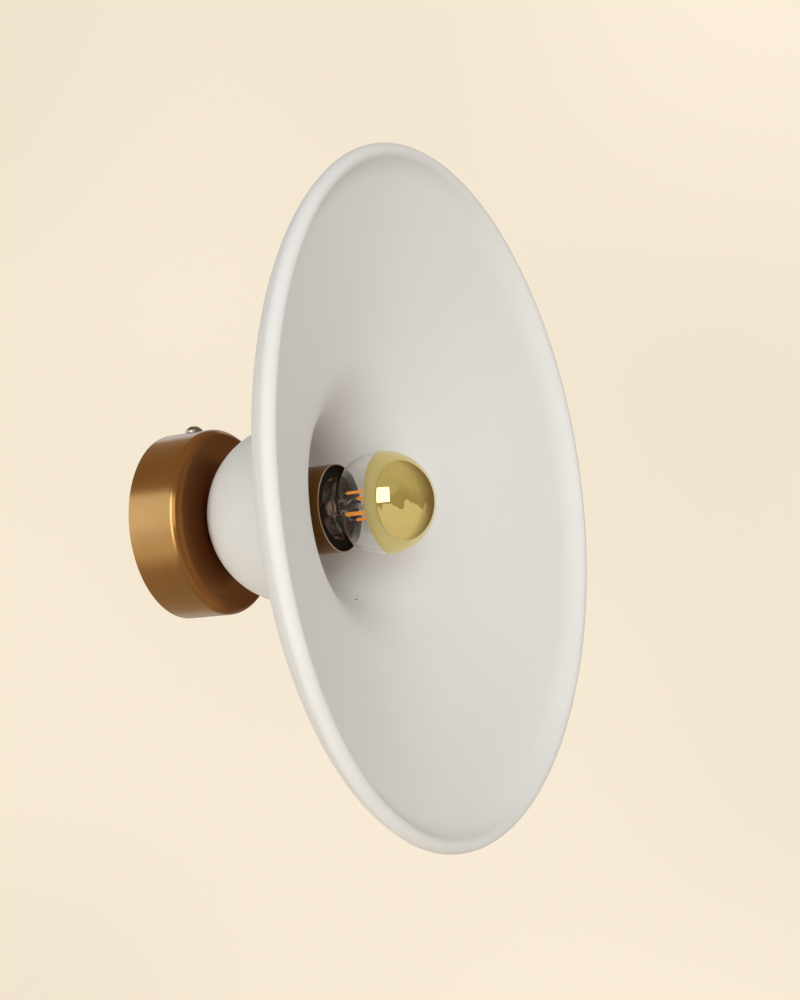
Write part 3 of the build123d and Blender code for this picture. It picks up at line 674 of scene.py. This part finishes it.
PLAIN_FINISHES = {
    "zinc_steel": dict(
        pair=((0.30, 0.305, 0.305), (0.38, 0.385, 0.385)),
        grain=160,
        rough=(0.26, 0.42),
        bump=0.03 * MM,
        Metallic=1.0,
    ),
    "bright_brass": dict(
        pair=((0.66, 0.45, 0.17), (0.76, 0.54, 0.23)),
        grain=180,
        rough=(0.2, 0.34),
        bump=0.03 * MM,
        Metallic=1.0,
    ),
    "spring_bronze": dict(
        pair=((0.58, 0.33, 0.16), (0.68, 0.42, 0.22)),
        grain=200,
        rough=(0.22, 0.36),
        bump=0.03 * MM,
        Metallic=1.0,
    ),
    "nickel": dict(
        pair=((0.2, 0.18, 0.155), (0.27, 0.245, 0.215)),
        grain=220,
        rough=(0.16, 0.3),
        bump=0.02 * MM,
        Metallic=1.0,
    ),
    "lead_wire": dict(
        pair=((0.42, 0.40, 0.38), (0.54, 0.52, 0.5)),
        grain=600,
        rough=(0.22, 0.36),
        bump=0.01 * MM,
        Metallic=1.0,
    ),
    "white_polyamide": dict(
        pair=((0.70, 0.69, 0.65), (0.77, 0.76, 0.72)),
        grain=120,
        rough=(0.36, 0.5),
        bump=0.04 * MM,
    ),
    "black_rubber": dict(
        pair=((0.012, 0.012, 0.012), (0.026, 0.025, 0.024)),
        grain=420,
        rough=(0.65, 0.85),
        bump=0.06 * MM,
    ),
    "live_sleeve": dict(
        pair=((0.15, 0.055, 0.022), (0.20, 0.078, 0.034)),
        grain=320,
        rough=(0.34, 0.46),
        bump=0.03 * MM,
    ),
    "neutral_sleeve": dict(
        pair=((0.022, 0.10, 0.34), (0.034, 0.135, 0.42)),
        grain=320,
        rough=(0.34, 0.46),
        bump=0.03 * MM,
    ),
    "earth_sleeve": dict(
        pair=((0.06, 0.28, 0.05), (0.6, 0.56, 0.06)),
        grain=260,
        rough=(0.34, 0.46),
        bump=0.03 * MM,
    ),
    "black_glass": dict(
        pair=((0.006, 0.006, 0.008), (0.014, 0.014, 0.017)),
        grain=200,
        rough=(0.05, 0.12),
        bump=0.02 * MM,
    ),
    "filament_phosphor": dict(
        pair=((0.80, 0.27, 0.018), (0.92, 0.37, 0.035)),
        grain=900,
        rough=(0.45, 0.6),
        bump=0.03 * MM,
        # painted glow: the filaments shine a little, though the bulb is off
        Emission_Color=(0.9, 0.3, 0.03, 1),
        Emission_Strength=0.4,
    ),
    "green_board": dict(
        pair=((0.012, 0.05, 0.022), (0.02, 0.075, 0.034)),
        grain=420,
        rough=(0.3, 0.44),
        bump=0.03 * MM,
    ),
    "capacitor_sleeve": dict(
        pair=((0.018, 0.02, 0.028), (0.032, 0.036, 0.046)),
        grain=300,
        rough=(0.22, 0.34),
        bump=0.03 * MM,
    ),
}


def make_finishes():
    """One material for each of the record's slots."""
    finishes = {name: plain_finish(name, **values) for name, values in PLAIN_FINISHES.items()}
    finishes["ceramic"] = ceramic_finish()
    finishes["antique_brass"] = canopy_finish()
    finishes["cup_brass"] = cup_finish()
    finishes["gold_mirror"] = gold_finish()
    finishes["clear_glass"] = glass_finish()
    finishes["black_phenolic"] = phenolic_finish()
    return finishes


def dress(piece, finish):
    """Give a new piece its finish."""
    piece.data.materials.clear()
    piece.data.materials.append(finish)


def dress_nodes(finishes):
    """Give each CAD node the finish of its material slot in model.glb, and the bulb's cap its own."""
    cap = cap_finish()
    for name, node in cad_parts.items():
        for holder in node.material_slots:
            holder.material = cap if name == "bulb_cap" else finishes[holder.material.name]


# Floor
FLOOR_HEIGHT = -0.75
FLOOR_RADIUS = 1.2
FLOOR_PALE = ((0.80, 0.75, 0.66), (0.84, 0.79, 0.7))
FLOOR_GLOW = (0.2, 0.16, 0.1, 1)


def floor_finish():
    """A pale floor that the camera sees as bright as the ground, with the object's shadow on it."""
    finish = Finish("floor", Emission_Color=FLOOR_GLOW)
    finish.colour(finish.between(finish.noise(6), FLOOR_PALE))
    finish.rough(finish.noise(12), low=0.7, high=0.85)
    seen = finish.node("LightPath").outputs["Is Camera Ray"]
    finish.give(finish.shader.inputs["Emission Strength"], seen)
    finish.bumps((finish.noise(18, detail=2), 0.2 * MM, 0.5))
    return finish.material


def make_floor():
    """A plain pale disc, below what the camera sees."""
    ring = []
    for i in range(DISC_STEPS):
        angle = 2 * pi * i / DISC_STEPS
        ring.append((FLOOR_RADIUS * cos(angle), FLOOR_RADIUS * sin(angle), FLOOR_HEIGHT))
    floor = finished_mesh("floor", ring, [tuple(range(DISC_STEPS))])
    floor.data.materials.append(floor_finish())
    floor.visible_glossy = False


# Surroundings
CREAM = ((0.87, 0.765, 0.61), (0.97, 0.855, 0.69))
SOFT_FRONT = (0.26, 0.255, 0.25, 1)
SOFT_BEHIND = (0.32, 0.31, 0.29, 1)
SHADE_SIDE = (0.2, 0.14, 0.085, 1)
CARD_TONES = (  # a pale card beside and behind the light, by height
    (-1.0, (0.6, 0.48, 0.34)),
    (-0.64, (0.74, 0.58, 0.42)),
    (-0.44, (1.5, 1.35, 1.15)),
    (-0.1, (1.65, 1.65, 1.6)),
    (0.0, (2.0, 2.15, 2.3)),
    (0.52, (2.1, 2.25, 2.4)),
    (0.6, (0.66, 0.46, 0.26)),
    (1.0, (0.46, 0.33, 0.21)),
)
GLEAM_TONES = (  # the card's near edge, by height
    (-0.64, (0.6, 0.46, 0.33)),
    (-0.44, (2.0, 1.9, 1.7)),
    (0.0, (7.0, 7.0, 6.8)),
    (0.5, (7.0, 7.0, 6.8)),
    (0.6, (0.6, 0.44, 0.28)),
)
FRONT_TONES = (  # darker surroundings in front, by height
    (-1.0, (0.7, 0.63, 0.5)),
    (-0.24, (0.76, 0.69, 0.55)),
    (-0.12, (0.4, 0.33, 0.21)),
    (0.2, (0.44, 0.37, 0.24)),
    (0.48, (0.54, 0.47, 0.33)),
    (1.0, (0.58, 0.52, 0.39)),
)
FRONT_UNEVEN = 0.2  # how far the heights in front wander

# Directions, from -1 to 1, between which one part of the surroundings gives way to the next
SOFT_BAND = (-0.3, 0.4)
FRONT_BAND = (-0.16, -0.08)
GLEAM_BAND = (0.1, 0.25)
SIDE_BAND = (0.4, 0.95)


class Surround(Finish):
    """The world's nodes, which share the helpers of a finish."""

    def __init__(self, name):
        self.world = bpy.data.worlds.new(name)
        self.world.use_nodes = True
        self.tree = self.world.node_tree
        self.tree.nodes.clear()

    def place(self):
        """The direction that a ray leaves in."""
        return self.node("TexCoord").outputs["Generated"]

    def share(self, value, band):
        """How far a value has gone through a band, from 0 to 1."""
        return self.spread(value, 0, 1, *band)

    def by_height(self, height, stops):
        """Colours by height, from -1 below to 1 above."""
        level = self.share(height, (-1, 1))
        return self.tones(level, *[((stop + 1) / 2, colour) for stop, colour in stops])

    def glow(self, colour):
        return self.node("Background", Color=colour).outputs["Background"]

    def either(self, share, first, second):
        """One light or another."""
        made = self.node("MixShader", Fac=share)
        self.give(made.inputs[1], first)
        self.give(made.inputs[2], second)
        return made.outputs["Shader"]


def make_world():
    """Soft light from all round, a little stronger from behind. The camera and the glass see a
    cream ground. Metal mirrors a pale card at the back and darker surroundings in front."""
    world = Surround("studio")
    split = world.node("SeparateXYZ", Vector=world.place())
    right, back, up = (split.outputs[axis] for axis in "XYZ")
    soft = world.glow(world.mixed(world.share(back, SOFT_BAND), SOFT_FRONT, SOFT_BEHIND))
    card = world.by_height(up, CARD_TONES)
    gleam = world.by_height(up, GLEAM_TONES)
    edged = world.mixed(world.share(back, GLEAM_BAND), gleam, card)
    wander = world.spread(world.noise(2.4, detail=1), -FRONT_UNEVEN, FRONT_UNEVEN)
    front = world.by_height(world.maths("ADD", up, wander), FRONT_TONES)
    lit = world.mixed(world.share(back, FRONT_BAND), front, edged)
    mirrored = world.glow(world.mixed(world.share(right, SIDE_BAND), lit, SHADE_SIDE))
    ground = world.glow(world.between(world.noise(2.2, detail=1), CREAM))
    path = world.node("LightPath").outputs
    through = world.maths("MAXIMUM", path["Is Camera Ray"], path["Is Transmission Ray"])
    unseen = world.either(path["Is Glossy Ray"], soft, mirrored)
    world.node("OutputWorld", Surface=world.either(through, unseen, ground))
    bpy.context.scene.world = world.world


# Lamps
LAMP_AIM = (0, -0.09, 0)


def make_lamp(name, place, size, power, colour, mirrored=False):
    """A rectangular soft lamp that faces the light, and that metal mirrors or not."""
    data = bpy.data.lights.new(name, "AREA")
    data.shape = "RECTANGLE"
    data.size, data.size_y = size
    data.energy = power
    data.color = colour
    lamp = bpy.data.objects.new(name, data)
    lamp.location = place
    lamp.visible_glossy = mirrored
    lamp.rotation_euler = (Vector(LAMP_AIM) - Vector(place)).to_track_quat("-Z", "Y").to_euler()
    bpy.context.scene.collection.objects.link(lamp)


def make_lamps():
    make_lamp(
        "key",
        place=(-1.42, -0.79, 0.42),
        size=(0.9, 0.95),
        power=6.4,
        colour=(0.81, 0.935, 1),
        mirrored=True,
    )
    make_lamp("fill", place=(-1.1, -1.5, 0), size=(1.8, 1.8), power=17.4, colour=(1, 0.952, 0.894))
    make_lamp("top", place=(0, -1.2, 1.6), size=(1.8, 1.8), power=2.9, colour=(1, 0.86, 0.74))
    make_lamp("left_back", place=(-1.2, 0.85, -0.4), size=(1.0, 1.3), power=8.9, colour=(1, 0.92, 0.83))
    make_lamp("right_back", place=(1.5, 0.35, 0.3), size=(1.2, 1.2), power=6, colour=(1, 0.98, 0.95))


# Camera, from where the middle of the canopy's back and the light's axis show in the photograph
SENSOR = 36
FOCAL = 1.7 * SENSOR  # the focal length is 1.7 times the picture's height
CANOPY_SEEN = Vector((-0.09938, -0.01225, -0.78157))  # right, up and back from the camera
AXIS_TURN = radians(63.2)
AXIS_TILT = radians(6.82)


def make_camera():
    """A camera that sees the light's axis turned and tilted as the photograph does."""
    axis = Vector((sin(AXIS_TURN) * cos(AXIS_TILT), sin(AXIS_TURN) * sin(AXIS_TILT), cos(AXIS_TURN)))
    up = Vector((0, 1, 0))
    up = (up - axis * up.dot(axis)).normalized()
    right = (-axis).cross(up)
    seen = Matrix((right, -axis, up)).transposed().to_4x4()
    data = bpy.data.cameras.new("camera")
    data.sensor_width = SENSOR
    data.lens = FOCAL
    camera = bpy.data.objects.new("camera", data)
    camera.matrix_world = (Matrix.Translation(CANOPY_SEEN) @ seen).inverted()
    bpy.context.scene.collection.objects.link(camera)
    bpy.context.scene.camera = camera


finishes = make_finishes()
dress_nodes(finishes)
dress(make_shade(), finishes["ceramic"])
dress(make_globe(), finishes["clear_glass"])
dress(make_crown(), finishes["gold_mirror"])
dress(make_stem(), mount_finish())
strips, tabs = make_filaments()
dress(strips, finishes["filament_phosphor"])
dress(tabs, finishes["lead_wire"])
make_floor()
make_world()
make_lamps()
make_camera()
bpy.context.scene.view_settings.view_transform = "Standard"

bpy.context.view_layer.update()
